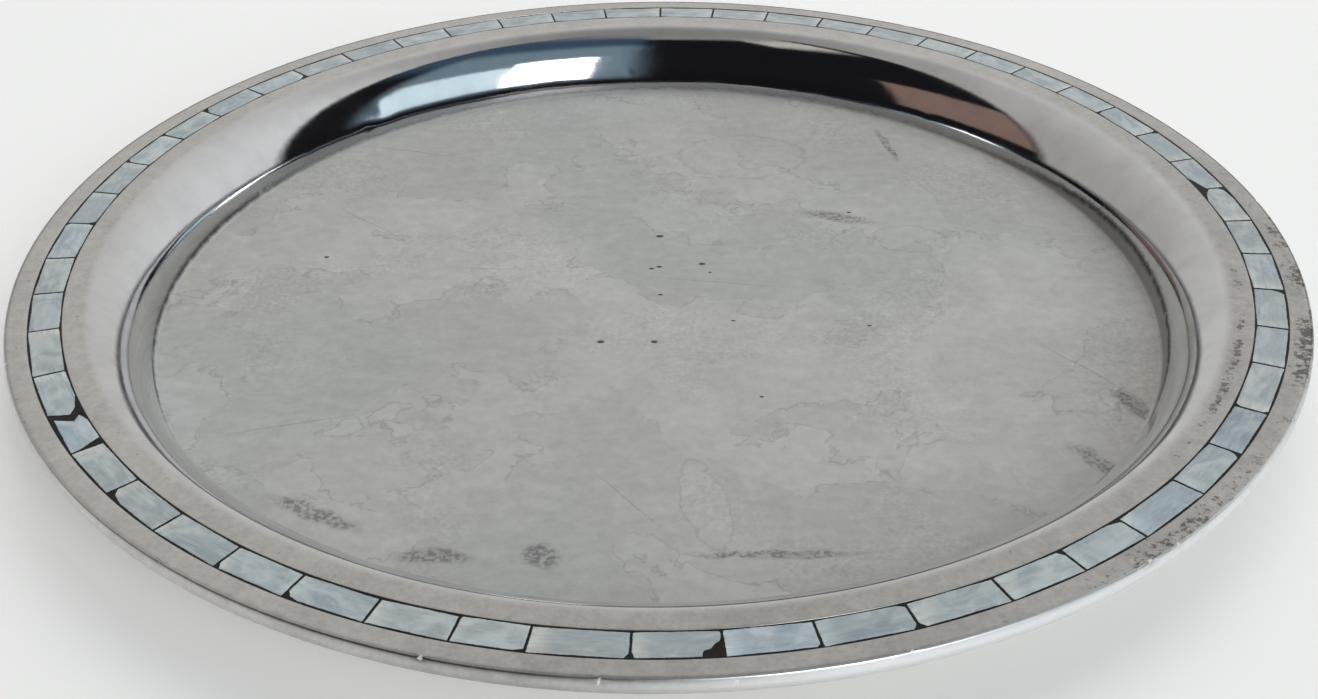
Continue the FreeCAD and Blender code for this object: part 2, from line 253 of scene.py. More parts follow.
def lathe(section, fine, coarse, coarse_limit):
    """Rings round the Z axis, closed at the axis. Rings inside coarse_limit have fewer points."""
    vertices, faces, rings = [(0.0, 0.0, section[0][1])], [], []
    for r, z in section:
        count = coarse if r < coarse_limit else fine
        rings.append((len(vertices), count))
        angles = np.arange(count) * 2 * math.pi / count
        vertices += [(r * math.sin(a), -r * math.cos(a), z) for a in angles]
    vertices.append((0.0, 0.0, section[-1][1]))
    first, count = rings[0]
    faces += [(0, first + i, first + (i + 1) % count) for i in range(count)]
    for (a, na), (b, nb) in zip(rings, rings[1:]):
        if na == nb:
            faces += [(a + i, b + i, b + (i + 1) % nb, a + (i + 1) % na) for i in range(na)]
        else:
            faces += join_uneven(a, na, b, nb)
    first, count = rings[-1]
    last = len(vertices) - 1
    faces += [(last, first + (i + 1) % count, first + i) for i in range(count)]
    return vertices, faces, rings


# Small damage to the metal: angle round the plate, height, reach and depth, in degrees and millimetres.
DENTS = [
    (220, 9, 4, 0.10), (223, 6, 2.5, 0.06), (184, 8, 1.5, 0.05), (176, 9, 1.5, 0.03),
    (168, 7, 1.5, 0.04), (140, 8, 3, 0.05), (200, 12, 3, 0.03), (233, 8, 3, 0.04),
]
NICKS = [
    (-16, 16.8, 0.9, 0.22), (-4, 16.5, 1.0, 0.22), (5, 16.2, 0.8, 0.18), (17, 16.8, 0.9, 0.22),
    (37, 16.8, 1.3, 0.30), (40, 16.8, 0.8, 0.20), (-38, 16.8, 0.8, 0.15), (-70, 16.8, 0.8, 0.15),
    (97, 16.8, 0.9, 0.15), (150, 16.8, 1.2, 0.15),
]


def damaged(point):
    """The point of the metal's top pushed in by the wall's waves, the dents and the nicks in the edge."""
    x, y, z = point
    r = math.hypot(x, y)
    if r < FLOOR_RADIUS:
        return point
    angle = math.degrees(math.atan2(x, -y))
    shift = 0.0
    if r < RIM_INNER:
        upright = min(1.0, (z - FLOOR_TOP) / 3.0) * min(1.0, (HEIGHT - z) / 2.0)
        wave = noise.noise(Vector((x * 0.05, y * 0.05, z * 0.10)))
        ripple = noise.noise(Vector((x * 0.16, y * 0.16, z * 0.4 + 9.0)))
        shift = upright * (0.05 * wave + 0.008 * ripple)
    # A dent pushes the wall outwards, and a nick pushes the edge inwards.
    flaws, sign = (DENTS, 1.0) if r < RIM_INNER else (NICKS, -1.0)
    for at, height, reach, depth in flaws:
        across = ((angle - at + 180.0) % 360.0 - 180.0) * math.pi / 180.0 * r
        gap = math.hypot(across, (z - height) * 1.4) / reach
        if gap < 2.0 and (r < RIM_INNER or r > RADIUS - 0.8):
            shift += sign * depth * math.exp(-2.5 * gap * gap)
    return (x * (1 + shift / r), y * (1 + shift / r), z)


def make_plate():
    """The one-piece metal plate as a fine turned mesh.

    Its materials are 0 floor, 1 wall, 2 rim and 3 underside.
    """
    top, under = plate_section()
    vertices, faces, rings = lathe(top + under, RING_POINTS, FLOOR_RING_POINTS, FLOOR_RADIUS - 3)
    under_start = rings[len(top)][0]
    vertices = [damaged(v) for v in vertices[:under_start]] + vertices[under_start:]
    plate = make_object("plate_metal", vertices, faces)
    starts = [first for first, _ in rings]
    wall_start = starts[next(i for i, point in enumerate(top) if point[0] > FLOOR_RADIUS - 3)]
    rim_start = starts[next(i for i, point in enumerate(top) if point[0] > RIM_INNER + 0.5)]
    for face in plate.data.polygons:
        first = min(face.vertices)
        face.material_index = sum(first >= start for start in (wall_start, rim_start, under_start))
    plate.data.set_sharp_from_angle(angle=math.radians(40))
    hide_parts("plate_body")
    return plate


def top_outline(node):
    """The corners of a tile's flat top, in order, in millimetres."""
    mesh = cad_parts[node].data
    top = max(v.co.z for v in mesh.vertices)
    points = [(round(v.co.x / MM, 3), round(v.co.y / MM, 3)) for v in mesh.vertices]
    edges = set()
    for face in mesh.polygons:
        if any(mesh.vertices[i].co.z < top - 1e-6 for i in face.vertices):
            continue
        corners = [points[i] for i in face.vertices]
        for edge in zip(corners, corners[1:] + corners[:1]):
            if edge[::-1] in edges:
                edges.remove(edge[::-1])
            else:
                edges.add(edge)
    following = dict(edges)
    start = min(following)
    loop, point = [start], following[start]
    while point != start:
        loop.append(point)
        point = following[point]
    return [Vector(p) for p in loop]


def hand_cut(corners, rng):
    """The outline as a fine loop with rounded corners and slightly uneven sides, never outside it."""
    rounded = []
    count = len(corners)
    for i, corner in enumerate(corners):
        back, ahead = corners[i - 1] - corner, corners[(i + 1) % count] - corner
        reach = min(rng.uniform(0.12, 0.40), 0.4 * back.length, 0.4 * ahead.length)
        start, end = corner + back.normalized() * reach, corner + ahead.normalized() * reach
        for t in (0.0, 0.25, 0.5, 0.75, 1.0):
            rounded.append(start * (1 - t) ** 2 + corner * 2 * t * (1 - t) + end * t * t)
    loop = []
    seed = rng.uniform(0, 100)
    for a, b in zip(rounded, rounded[1:] + rounded[:1]):
        pieces = max(1, round((b - a).length / 0.4))
        loop += [a.lerp(b, k / pieces) for k in range(pieces)]
    uneven = []
    for i, point in enumerate(loop):
        along = (loop[(i + 1) % len(loop)] - loop[i - 1]).normalized()
        inward = Vector((-along.y, along.x))
        wave = noise.noise(Vector((point.x * 0.35, point.y * 0.35, seed)))
        nick = noise.noise(Vector((point.x * 2.2, point.y * 2.2, seed + 7)))
        uneven.append(point + inward * max(0.0, 0.07 + 0.06 * wave + 0.07 * nick))
    return uneven


def make_tile(node, number):
    """One mother-of-pearl tile: hand-cut outline, eased edge, crowned and slightly tilted face."""
    rng = random.Random(500 + number)
    corners = top_outline(node)
    outline = hand_cut(corners, rng)
    centre = sum(outline, Vector((0, 0))) / len(outline)
    out = centre.normalized()
    along = Vector((-out.y, out.x))
    local = [((p - centre).dot(along), (p - centre).dot(out)) for p in outline]
    half = (max(w for _, w in local) - min(w for _, w in local)) / 2
    middle = (max(w for _, w in local) + min(w for _, w in local)) / 2
    spine = (min(s for s, _ in local) + half, max(s for s, _ in local) - half)
    tilt_s, tilt_w = rng.gauss(0, 0.0022), rng.gauss(0, 0.007)
    seed = rng.uniform(0, 100)
    bottom = HEIGHT - TILE_DEPTH
    vertices, faces, rings, uv = [], [], [], []

    def place(s, w, depth):
        p = centre + along * s + out * w
        fall = 0.05 * math.exp(-depth / 0.09) + 0.02 * max(0.0, 1 - depth / half) ** 2
        swell = 0.012 * noise.noise(Vector((s * 0.5, w * 0.5, seed)))
        z = HEIGHT - fall + (tilt_s * s + tilt_w * w + swell - 0.015)
        vertices.append((p.x, p.y, z))
        uv.append((s, w))

    for share in (0.0, 0.02, 0.045, 0.09, 0.18, 0.35, 0.6, 0.85):
        rings.append(len(vertices))
        for s, w in local:
            foot = (min(max(s, spine[0]), spine[1]), middle)
            gap = math.hypot(foot[0] - s, foot[1] - w)
            place(s + (foot[0] - s) * share, w + (foot[1] - w) * share, gap * share)
    count = len(local)
    for a, b in zip(rings, rings[1:]):
        faces += [(a + i, a + (i + 1) % count, b + (i + 1) % count, b + i) for i in range(count)]
    faces.append(tuple(rings[-1] + i for i in range(count)))
    low = len(vertices)
    for (s, w), p in zip(local, outline):
        vertices.append((p.x, p.y, bottom))
        uv.append((s, w))
    faces += [(low + i, low + (i + 1) % count, (i + 1) % count, i) for i in range(count)]
    faces.append(tuple(low + i for i in reversed(range(count))))
    tile = make_object("pearl_" + node, vertices, faces)
    tile.data.set_sharp_from_angle(angle=math.radians(50))
    layer = tile.data.uv_layers.new(name="cut")
    for loop in tile.data.loops:
        s, w = uv[loop.vertex_index]
        layer.data[loop.index].uv = (s * 0.05 + 0.5, w * 0.05 + 0.5)
    tone = tile.data.attributes.new("tone", "FLOAT_COLOR", "POINT")
    tint = TILE_TONES.get(number, (0.5, 0.5))
    warm = min(1.0, max(0.0, tint[0] + rng.gauss(0, 0.20)))
    light = min(1.0, max(0.0, tint[1] + rng.gauss(0, 0.16)))
    tone.data.foreach_set("color", [warm, light, rng.random(), 1.0] * len(vertices))
    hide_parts(node)
    return tile, outline


# How warm (0 blue, 1 yellow-grey) and how light each tile is, where it differs from the middle.
TILE_TONES = {
    3: (0.55, 0.6), 4: (0.8, 0.45), 5: (0.45, 0.65), 6: (0.3, 0.55), 7: (0.35, 0.5), 8: (0.95, 0.6),
    9: (0.6, 0.5), 10: (0.3, 0.45), 11: (0.35, 0.55), 13: (0.1, 0.35), 45: (0.2, 0.4), 46: (0.75, 0.5),
    47: (0.2, 0.5), 48: (0.7, 0.6), 50: (0.1, 0.75), 51: (0.75, 0.6), 52: (0.85, 0.45), 54: (0.15, 0.4),
}


def make_resin(outlines):
    """The black resin round the tiles: a ring that fills the groove, with a pocket for each tile."""
    steps = RING_POINTS
    top, floor, bottom = HEIGHT - RESIN_DROP, HEIGHT - TILE_DEPTH, HEIGHT - GROOVE_DEPTH
    turn = [2 * math.pi * i / steps for i in range(steps)]
    walls = (GROOVE_INNER, GROOVE_OUTER)
    loops = [[Vector((r * math.sin(a), -r * math.cos(a))) for a in turn] for r in walls]
    loops += outlines
    flat, edges, spans = [], [], []
    for loop in loops:
        first, count = len(flat), len(loop)
        spans.append((first, count))
        flat += loop
        edges += [(first + i, first + (i + 1) % count) for i in range(count)]
    made = geometry.delaunay_2d_cdt(flat, edges, [], 0, 1e-5, True)
    points, triangles, sources = made[0], made[2], made[3]
    owner = {}
    for index, source in enumerate(sources):
        for i in source:
            owner.setdefault(i, index)
    tile_of = np.zeros(len(points), int) - 1
    for k, (first, count) in enumerate(spans[2:]):
        for i in range(first, first + count):
            tile_of[owner[i]] = k
    kept = []
    for a, b, c in triangles:
        middle = (points[a] + points[b] + points[c]) / 3
        if not GROOVE_INNER < middle.length < GROOVE_OUTER:
            continue
        tile = tile_of[a]
        if tile >= 0 and tile == tile_of[b] == tile_of[c] and inside(middle, outlines[tile]):
            continue
        kept.append((a, b, c))
    rough = [top + 0.02 * noise.noise(Vector((p.x * 1.3, p.y * 1.3, 3.0))) for p in points]
    vertices = [(p.x, p.y, z) for p, z in zip(points, rough)]
    faces = [tuple(t) for t in kept]
    lower = {}
    for k, (first, count) in enumerate(spans):
        depth = bottom if k < 2 else floor
        for i in range(first, first + count):
            lower[i] = len(vertices)
            vertices.append((flat[i].x, flat[i].y, depth))
        ring = range(first, first + count)
        pairs = [(i, first + (i - first + 1) % count) for i in ring]
        if k == 1:
            faces += [(lower[i], lower[j], owner[j], owner[i]) for i, j in pairs]
        else:
            faces += [(owner[i], owner[j], lower[j], lower[i]) for i, j in pairs]
        if k >= 2:
            faces.append(tuple(lower[i] for i in ring))
    for i in range(steps):
        j = (i + 1) % steps
        faces.append((lower[i], lower[j], lower[steps + j], lower[steps + i]))
    resin = make_object("resin_ring", vertices, faces)
    resin.data.set_sharp_from_angle(angle=math.radians(40))
    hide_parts("resin_bed")
    return resin


def inside(point, loop):
    """True if the point is inside the closed loop."""
    found = False
    for a, b in zip(loop, loop[1:] + loop[:1]):
        if (a.y > point.y) != (b.y > point.y):
            found ^= point.x < (b.x - a.x) * (point.y - a.y) / (b.y - a.y) + a.x
    return found


# ------------------------------------------------------------------------------------------
# Materials
# ------------------------------------------------------------------------------------------
# The marks that stand out on the floor, in round numbers. Each has a centre, a half length and a
# half width in millimetres, and a turn in degrees.
SPOTS = [
    (-20, -82, 3, 3, 0), (-38, -82, 6, 2, 0), (20, -82, 14, 1, 0), (90, -40, 2, 7, 25), (80, -58, 2, 8, 35),
    (-60, -70, 9, 2, -30), (40, 35, 8, 2, -20), (55, 70, 1, 8, 10),
]
PALE = [(8, -66, 4, 12, 10), (40, -50, 16, 7, -30), (-20, 10, 12, 22, 20), (80, 10, 11, 24, -10)]
OUTLINES = [(8, -68, 4, 13, 10), (20, 65, 15, 11, 0), (-90, 40, 4, 3, 0), (55, 25, 8, 6, -10)]


def strewn(seed, count, low, high, thin, reach=92.0):
    """Marks strewn evenly over the floor, with a half length between low and high."""
    rng = random.Random(seed)
    found = []
    for _ in range(count):
        away, angle = reach * math.sqrt(rng.random()), rng.uniform(0, 2 * math.pi)
        length = rng.uniform(low, high)
        x, y = away * math.cos(angle), away * math.sin(angle)
        found.append((x, y, length, length * thin, rng.uniform(-60, 60)))
    return found


STAINS = strewn(11, 6, 4.0, 9.0, 0.5)
SCRATCHES = strewn(23, 7, 7.0, 15.0, 0.011)
PITS = strewn(5, 7, 0.4, 0.8, 1.0, 20.0) + strewn(8, 6, 0.4, 0.8, 1.0)


def marks(g, flat, items, soft, ring=0.0):
    """A mask of ellipses on the floor: filled, or only their outlines when a ring width is given."""
    mask = None
    for x, y, length, width, turn in items:
        inputs = {"Vector": flat, "Location": (x, y, 0), "Rotation": (0, 0, math.radians(turn)),
                  "Scale": (length, width, 1)}
        near = g.vector("LENGTH", g.node("Mapping", inputs, vector_type="TEXTURE").outputs[0])
        one = g.ridge(near, 1.0, ring) if ring else g.step(near, 1.0 + soft, 1.0 - soft)
        mask = one if mask is None else g.math("MAXIMUM", mask, one)
    return mask


def pits(g, flat):
    """A mask of small flattened pits."""
    flattened = g.vector("MULTIPLY", flat, (1.0, 1.5, 0.0))
    mask = None
    for x, y, reach, _, _ in PITS:
        gap = g.vector("DISTANCE", flattened, (x, y * 1.5, 0.0))
        one = g.step(gap, reach * 1.25, reach * 0.75)
        mask = one if mask is None else g.math("MAXIMUM", mask, one)
    return mask


DULL_METALLIC = 0.12
SATIN_COLOUR = (0.62, 0.61, 0.585)
DIRT_COLOUR = (0.13, 0.12, 0.10)


class Metal(Graph):
    """The patterns that the plate's floor, wall and rim share, in millimetres on the plate."""

    def __init__(self, tree):
        super().__init__(tree)
        self.place = self.vector("SCALE", self.node("TexCoord").outputs["Object"], 1 / MM)
        x, self.y, self.z = self.split(self.place)
        self.plan = self.join(x, self.y, 0.0)
        self.r = self.vector("LENGTH", self.plan)
        self.turn = self.math("DEGREES", self.math("ARCTAN2", x, self.math("MULTIPLY", self.y, -1.0)))
        self.fine = self.noise(self.place, 0.35, 4.0, 0.6)
        self.grain = self.noise(self.place, 1.1, 3.0, 0.6)
        self.bent = self.moved(0.045, 22.0, 3.0)

    def moved(self, scale, amount, detail=2.0):
        """The flat position shaken by up to half the amount, for ragged shapes."""
        shake = self.vector("SUBTRACT", self.noise(self.place, scale, detail, output=1), (0.5, 0.5, 0.5))
        return self.vector("ADD", self.plan, self.vector("SCALE", shake, amount))

    def level(self, value, weight):
        """A pattern of 0 to 1 as a change of up to half the weight either way."""
        return self.math("MULTIPLY", self.math("SUBTRACT", value, 0.5), weight)

    def add(self, *values):
        total = values[0]
        for value in values[1:]:
            total = self.math("ADD", total, value)
        return total

    def dull(self, shade=1.0):
        """The cloudy patina of the floor, lighter or darker by shade, with painted light on the floor near
        the back wall.
        """
        cloud = self.noise(self.bent, 0.021, 6.0, 0.55)
        other = self.noise(self.bent, 0.05, 5.0, 0.6)
        stretched = self.vector("MULTIPLY", self.moved(0.08, 10.0), (0.12, 0.32, 0.0))
        smear = self.noise(stretched, 1.0, 4.0, 0.6)
        worn = self.step(self.noise(self.plan, 0.03, 2.0), 0.48, 0.62)
        edging = self.step(other, 0.42, 0.52, 0.0, -0.20)
        edging = self.math("MULTIPLY", self.ridge(cloud, 0.5, 0.006), edging)
        patches = self.level(self.step(cloud, 0.485, 0.515), 0.065)
        smaller = self.level(self.step(other, 0.52, 0.56), 0.045)
        rubbed = self.math("MULTIPLY", worn, self.level(self.grain, 0.46))
        # Painted light: the floor near the back wall is made up to 0.12 lighter.
        behind = self.step(self.y, 10.0, 80.0, 0.0, 0.12)
        painted_back_light = self.math("MULTIPLY", self.step(self.r, 80.0, 99.0), behind)
        texture = (self.level(self.fine, 0.34), self.level(smear, 0.26), self.level(self.grain, 0.10))
        shade = self.add(shade, painted_back_light, patches, smaller, *texture, rubbed, edging)
        warmth = self.step(self.noise(self.plan, 0.012, 2.0), 0.40, 0.60)
        return self.times(self.mix(warmth, (0.545, 0.550, 0.538), (0.567, 0.558, 0.525)), shade)

    def satin(self):
        """The satin rim, darker towards the front and the right, with dirt where it has caught, more of it
        on the right.
        """
        outer = self.step(self.r, 121.5, 125.5)
        outer = self.math("MULTIPLY", self.band(self.turn, 30.0, 96.0, 30.0), outer)
        inner = self.band(self.r, 112.9, 114.6, 1.2)
        inner = self.math("MULTIPLY", self.band(self.turn, 50.0, 84.0, 12.0), inner)
        clusters = self.math("MULTIPLY_ADD", self.noise(self.place, 0.09, 2.0), 0.6, -0.18)
        dirty = self.math("MULTIPLY", self.math("MAXIMUM", outer, inner), clusters)
        shaken = self.vector("ADD", self.place, self.vector("SCALE", self.bent, 0.02))
        spread = self.noise(shaken, 0.80, 6.0, 0.75)
        caught = self.step(self.math("ADD", spread, dirty), 0.62, 0.72)
        film = self.level(self.noise(self.bent, 0.06, 4.0, 0.6), 0.34)
        mottled = self.level(self.grain, 0.34)
        # Darker towards the front and the right.
        front = self.math("MULTIPLY", self.band(self.turn, -25.0, 115.0, 60.0), -0.20)
        shade = self.add(1.0, film, self.level(self.fine, 0.42), mottled, front)
        colour = self.times(SATIN_COLOUR, shade)
        return self.mix(self.math("MULTIPLY", caught, 0.7), colour, DIRT_COLOUR), caught


def metal_floor():
    """Dull, clouded metal with its stains, spots, scratches and pits."""
    material, g = new_material("metal_floor", Metal)
    ragged = g.moved(0.22, 3.0, 3.0)
    speckle = g.step(g.grain, 0.40, 0.60, 0.22, 1.0)
    shade = g.math("MULTIPLY", marks(g, ragged, PALE, 0.12), 0.045)
    shade = g.math("MULTIPLY_ADD", marks(g, ragged, STAINS, 0.5), -0.05, shade)
    shade = g.math("MULTIPLY_ADD", marks(g, ragged, OUTLINES, 0.1, 0.08), -0.13, shade)
    spots = g.math("MULTIPLY", marks(g, ragged, SPOTS, 0.35), speckle)
    shade = g.math("MULTIPLY_ADD", spots, -0.55, shade)
    shade = g.math("MULTIPLY_ADD", marks(g, g.moved(0.06, 3.0), SCRATCHES, 0.6), -0.26, shade)
    colour = g.dull(g.math("ADD", 1.0, shade))
    colour = g.mix(pits(g, g.plan), colour, (0.06, 0.055, 0.05))
    rough = g.math("ADD", 0.50, g.level(g.fine, 0.12))
    inputs = {"Base Color": colour, "Metallic": DULL_METALLIC, "Roughness": rough}
    inputs["Specular IOR Level"] = 0.3
    finish_material(g, inputs)
    return material


def metal_wall():
    """The polished wall and shoulder, between the dull floor and the satin rim, with painted reflections
    darkening the foot of the wall.
    """
    material, g = new_material("metal_wall", Metal)
    # The dull metal climbs the foot of the wall, highest on the right, and dirt lies where it ends.
    sides = g.math("MAXIMUM", g.band(g.turn, 30.0, 122.0, 30.0), g.band(g.turn, -122.0, -35.0, 30.0))
    climb = g.add(g.z, g.level(g.fine, 1.6), g.level(g.grain, 0.7), g.math("MULTIPLY", sides, -0.5))
    climb = g.math("MULTIPLY_ADD", g.band(g.turn, 35.0, 115.0, 40.0), -2.4, climb)
    floor = g.step(climb, FLOOR_TOP + 1.3, FLOOR_TOP + 0.5)
    land = g.step(g.r, 110.6, 112.8)
    smudge = g.step(g.noise(g.place, 0.11, 4.0, 0.6), 0.35, 0.75)
    bright = g.mix(smudge, (0.70, 0.70, 0.70), (0.62, 0.62, 0.625))
    satin, _ = g.satin()
    # Painted reflection of the dark wall: the dull metal in the bend darkens to 0.72 as it rises 1.5 mm
    # from the floor.
    foot = g.step(g.z, FLOOR_TOP + 0.1, FLOOR_TOP + 1.5, 1.0, 0.72)
    colour = g.mix(land, g.mix(floor, bright, g.dull(foot)), satin)
    # Painted reflection of the floor: a grey band mixed over the foot of the wall, strongest 0.6 to 1 mm
    # above the floor and gone by 6.5 mm.
    above = g.step(g.z, FLOOR_TOP, FLOOR_TOP + 0.6)
    above = g.math("MULTIPLY", g.step(g.z, FLOOR_TOP + 6.5, FLOOR_TOP + 1.0), above)
    colour = g.mix(g.math("MULTIPLY", above, 0.70), colour, (0.37, 0.365, 0.38))
    line = g.math("MULTIPLY", g.ridge(climb, FLOOR_TOP + 0.7, 1.2), g.step(g.fine, 0.22, 0.52))
    line = g.math("MULTIPLY", line, g.math("MULTIPLY_ADD", sides, 0.75, 0.20))
    line = g.math("MULTIPLY", line, g.step(g.r, FLOOR_RADIUS - 2.0, FLOOR_RADIUS))
    colour = g.mix(line, colour, (0.045, 0.04, 0.038))
    rough = g.blend(land, g.blend(floor, g.blend(smudge, 0.06, 0.11), 0.50), 0.30)
    rough = g.math("MAXIMUM", rough, g.math("MULTIPLY", line, 0.6))
    metallic = g.blend(g.math("MAXIMUM", floor, line), 1.0, DULL_METALLIC)
    finish_material(g, {"Base Color": colour, "Metallic": metallic, "Roughness": rough}, g.fine, 0.00001)
    return material


def metal_rim():
    """The satin rim and its edge, with dirt, small bright chips and a painted highlight on the edge at the
    front right.
    """
    material, g = new_material("metal_rim", Metal)
    colour, caught = g.satin()
    chip = None
    for at, height, reach, _ in NICKS:
        across = g.math("MULTIPLY", g.math("SUBTRACT", g.turn, at), math.radians(RADIUS))
        gap = g.vector("LENGTH", g.join(across, g.math("SUBTRACT", g.z, height), 0.0))
        one = g.step(g.math("ADD", gap, g.level(g.grain, 2.4)), reach * 0.40, reach * 0.25)
        chip = one if chip is None else g.math("MAXIMUM", chip, one)
    chip = g.math("MULTIPLY", chip, g.step(g.r, RADIUS - 0.9, RADIUS - 0.7))
    # Painted highlight: the outer corner of the top is painted near white from 2 to 62 degrees round.
    lit = g.math("MULTIPLY", g.band(g.turn, 2.0, 62.0, 30.0), g.step(g.r, RADIUS - 0.7, RADIUS - 0.4))
    colour = g.mix(g.math("MULTIPLY", lit, 0.9), colour, (0.93, 0.94, 0.95))
    colour = g.mix(chip, colour, (0.95, 0.95, 0.95))
    rough = g.math("ADD", g.step(g.r, RADIUS - 0.5, RADIUS - 0.3, 0.30, 0.36), g.level(g.fine, 0.12))
    rough = g.math("MAXIMUM", rough, g.math("MULTIPLY", caught, 0.6))
    metallic = g.blend(chip, 1.0, 0.2)
    inputs = {"Base Color": colour, "Metallic": metallic, "Roughness": rough}
    finish_material(g, inputs, g.math("MULTIPLY_ADD", g.grain, 0.3, g.fine), 0.00002)
    return material


def metal_under():
    """The hidden underside: the same metal, with turning marks."""
    material, g = new_material("metal_under")
    place = g.vector("SCALE", g.node("TexCoord").outputs["Object"], 1 / MM)
    x, y, _ = g.split(place)
    r = g.vector("LENGTH", g.join(x, y, 0.0))
    fine = g.noise(place, 0.2, 5.0, 0.6)
    rings = g.join(g.math("MULTIPLY", r, 2.2), g.math("DIVIDE", x, 60.0), g.math("DIVIDE", y, 60.0))
    turned = g.noise(rings, 1.0, 3.0)
    shade = g.math("ADD", 0.85, g.math("MULTIPLY", g.math("ADD", fine, turned), 0.12))
    colour = g.times((0.60, 0.585, 0.56), shade)
    rough = g.math("ADD", 0.26, g.math("MULTIPLY", turned, 0.2))
    finish_material(g, {"Base Color": colour, "Metallic": 1.0, "Roughness": rough}, turned, 0.00002)
    return material


def resin_black():
    material, g = new_material("resin_black")
    place = g.vector("SCALE", g.node("TexCoord").outputs["Object"], 1 / MM)
    fine = g.noise(place, 1.2, 4.0, 0.65)
    colour = g.mix(g.step(fine, 0.45, 0.75), (0.006, 0.006, 0.006), (0.030, 0.027, 0.024))
    rough = g.step(fine, 0.3, 0.7, 0.25, 0.6)
    finish_material(g, {"Base Color": colour, "Roughness": rough, "Specular IOR Level": 0.2}, fine, 0.00008)
    return material


def pearl():
    """Mother-of-pearl: cloudy growth layers in blue-grey and greenish white under a clear gloss, with
    painted shade at the tile ends and a painted highlight along the long sides.
    """
    material, g = new_material("mother_of_pearl")
    cut = g.vector("SCALE", g.node("UVMap", uv_map="cut").outputs["UV"], 20.0)
    tone = g.split(g.node("Attribute", attribute_name="tone").outputs["Color"])
    warm, light, seed = tone
    s, w, _ = g.split(cut)
    offset = g.math("MULTIPLY", seed, 90.0)
    layers = g.join(g.math("MULTIPLY", s, 0.16), g.math("MULTIPLY", w, 0.55), offset)
    layered = g.noise(layers, 1.0, 4.0, 0.55, 0.8)
    cloud = g.noise(g.join(g.math("MULTIPLY", s, 0.7), w, offset), 0.22, 3.0, 0.5, 0.8)
    cool = g.mix(g.step(layered, 0.30, 0.70), (0.30, 0.41, 0.49), (0.64, 0.75, 0.78))
    mild = g.mix(g.step(layered, 0.30, 0.70), (0.42, 0.43, 0.37), (0.80, 0.80, 0.71))
    colour = g.mix(warm, cool, mild)
    colour = g.mix(g.step(cloud, 0.42, 0.72, 0.0, 0.55), colour, (0.86, 0.93, 0.93))
    threads = g.join(g.math("MULTIPLY", s, 0.12), g.math("MULTIPLY", w, 1.7), offset)
    lines = g.noise(threads, 1.0, 3.0, 0.6, 0.4)
    colour = g.times(colour, g.step(lines, 0.3, 0.7, 0.90, 1.10))
    # Painted shade: each tile darkens towards its ends, blue at one end and grey at the other.
    end = g.step(g.math("ADD", s, g.math("MULTIPLY", g.math("SUBTRACT", layered, 0.5), 6.0)), 3.0, 7.0)
    start = g.step(g.math("ADD", s, g.math("MULTIPLY", g.math("SUBTRACT", cloud, 0.5), 6.0)), -3.5, -7.0)
    colour = g.mix(g.math("MULTIPLY", end, 0.55), colour, (0.22, 0.31, 0.38))
    colour = g.mix(g.math("MULTIPLY", start, 0.45), colour, (0.33, 0.35, 0.33))
    # Painted highlight: a lighter strip along both long sides of the tile.
    rim = g.step(g.math("ABSOLUTE", w), 1.9, 2.9)
    rim = g.math("MULTIPLY", rim, g.step(cloud, 0.60, 0.35, 0.0, 0.45))
    colour = g.mix(rim, colour, (0.82, 0.88, 0.88))
    colour = g.times(colour, g.math("ADD", 0.80, g.math("MULTIPLY", light, 0.32)))
    rough = g.step(cloud, 0.3, 0.7, 0.16, 0.28)
    inputs = {"Base Color": colour, "Roughness": rough, "IOR": 1.56}
    inputs.update({"Coat Weight": 0.4, "Coat Roughness": 0.08})
    finish_material(g, inputs, layered, 0.00006)
    return material


def pale_floor():
    material, g = new_material("pale_floor")
    place = g.node("TexCoord").outputs["Object"]
    soft = g.noise(place, 3.0, 3.0)
    colour = g.mix(soft, (0.86, 0.86, 0.85), (0.89, 0.89, 0.88))
    inputs = {"Base Color": colour, "Roughness": 0.6, "Emission Color": colour, "Emission Strength": 0.30}
    finish_material(g, inputs)
    return material


# ------------------------------------------------------------------------------------------
# Camera, floor and light
# ------------------------------------------------------------------------------------------
def make_camera():
    """The camera at the photograph's viewing angle: 33 degrees up, close, turned a little."""
    target = Vector((0.1, -40.1, HEIGHT)) * MM
    place = Vector((0.1, -316.1, HEIGHT + 179.7)) * MM
    data = bpy.data.cameras.new("camera")
    data.sensor_width = 36.0
    data.lens = 49.03
    data.clip_start = 0.01
    camera = bpy.data.objects.new("camera", data)
    camera.location = place
    camera.rotation_mode = "QUATERNION"
    roll = Quaternion((0, 0, 1), math.radians(-0.3767))
    camera.rotation_quaternion = (target - place).to_track_quat("-Z", "Y") @ roll
    bpy.context.scene.collection.objects.link(camera)
    bpy.context.scene.camera = camera


def make_floor():
    size = 8.0
    corners = [(-size, -size, 0), (size, -size, 0), (size, size, 0), (-size, size, 0)]
    mesh = bpy.data.meshes.new("floor")
    mesh.from_pydata(corners, [], [(0, 1, 2, 3)])
    floor = bpy.data.objects.new("floor", mesh)
    bpy.context.scene.collection.objects.link(floor)
    mesh.materials.append(pale_floor())


# The studio's flags and panels: azimuth from and to (0 is behind the camera, growing to the right),
# height from and to, how soft the edges are (all in degrees), and the light. Each lies over those
# before it.
PANELS = {
    "low_flag": (-181, 181, -8, 5, 4, (0.10, 0.10, 0.11)),
    "front_flag": (-100, 98, -90, 78, 5, (0.01, 0.01, 0.012)),
    "blue_fill": (5, 95, 60, 82, 12, (0.05, 0.09, 0.14)),
    "warm_fill": (-98, -60, 12, 40, 3, (0.26, 0.18, 0.15)),
    "cool_fill": (5, 75, 12, 66, 10, (0.20, 0.28, 0.34)),
    "side_strip": (-90, -50, 70, 78, 6, (0.60, 0.58, 0.52)),
    "side_panel": (30, 72, 14, 44, 4, (0.85, 1.05, 1.15)),
    "soft_box": (17, 38, 14, 48, 2, (5.5, 5.6, 5.6)),
}


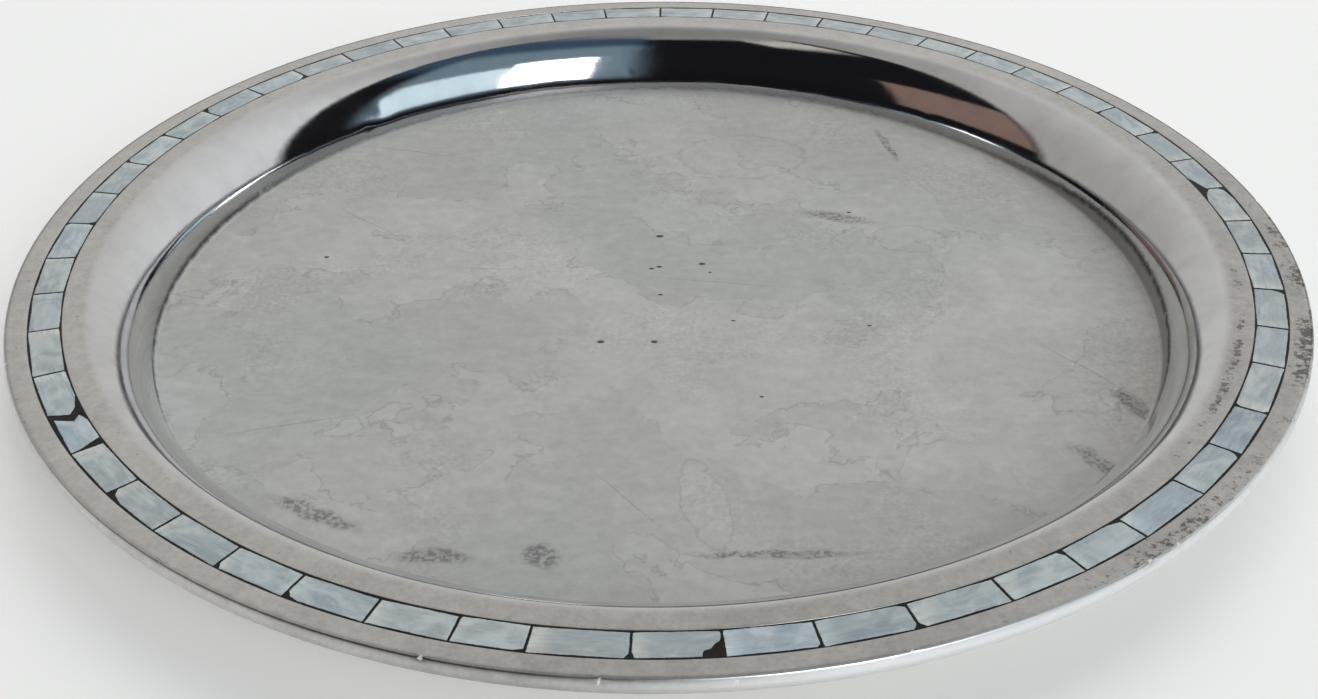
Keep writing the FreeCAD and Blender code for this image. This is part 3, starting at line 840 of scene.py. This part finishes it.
def make_world():
    """A soft studio: light grey all round and above, with a few plain flags and panels."""
    world = bpy.data.worlds.new("studio")
    bpy.context.scene.world = world
    world.use_nodes = True
    g = Graph(world.node_tree)
    x, y, z = g.split(g.node("TexCoord").outputs["Generated"])
    azimuth = g.math("DEGREES", g.math("ARCTAN2", x, g.math("MULTIPLY", y, -1.0)))
    height = g.math("DEGREES", g.math("ARCSINE", z))
    left, back, right = (0.45, 0.44, 0.42), (0.66, 0.655, 0.64), (0.80, 0.82, 0.83)
    colour = g.mix(g.step(x, 0.05, 0.9), g.mix(g.step(x, -0.9, -0.05), left, back), right)
    colour = g.times(colour, g.step(height, 45.0, 88.0, 1.0, 0.42))
    for low_a, high_a, low_h, high_h, soft, light in PANELS.values():
        mask = g.math("MULTIPLY", g.band(azimuth, low_a, high_a, soft), g.band(height, low_h, high_h, soft))
        colour = g.mix(mask, colour, light)
    seen = g.node("LightPath").outputs["Is Camera Ray"]
    background = g.node("Background", {"Color": g.mix(seen, colour, (0.86, 0.86, 0.85)), "Strength": 1.0})
    g.node("OutputWorld", {"Surface": background.outputs[0]})


def make_light():
    """One large soft box high over the plate. It only lights: the plate mirrors the panels instead."""
    azimuth, height, distance = math.radians(150.0), math.radians(66.0), 1.5
    level = math.cos(height)
    away = Vector((math.sin(azimuth) * level, -math.cos(azimuth) * level, math.sin(height)))
    data = bpy.data.lights.new("soft_box", "AREA")
    data.shape = "DISK"
    data.size = 1.3
    data.energy = 5.2
    data.color = (1.0, 0.985, 0.95)
    lamp = bpy.data.objects.new("soft_box", data)
    lamp.location = away * distance
    lamp.rotation_mode = "QUATERNION"
    lamp.rotation_quaternion = away.to_track_quat("Z", "Y")
    lamp.visible_camera = False
    lamp.visible_glossy = False
    bpy.context.scene.collection.objects.link(lamp)


# ------------------------------------------------------------------------------------------
# The plate
# ------------------------------------------------------------------------------------------
bpy.context.scene.view_settings.view_transform = "Standard"
make_camera()
make_floor()
make_world()
make_light()

plate = make_plate()
for material in (metal_floor(), metal_wall(), metal_rim(), metal_under()):
    plate.data.materials.append(material)

tile_names = sorted(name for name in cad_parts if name.startswith("tile_"))
nacre = pearl()
outlines = []
for number, name in enumerate(tile_names, start=1):
    tile, outline = make_tile(name, number)
    tile.data.materials.append(nacre)
    outlines.append(outline)
resin = make_resin(outlines)
resin.data.materials.append(resin_black())
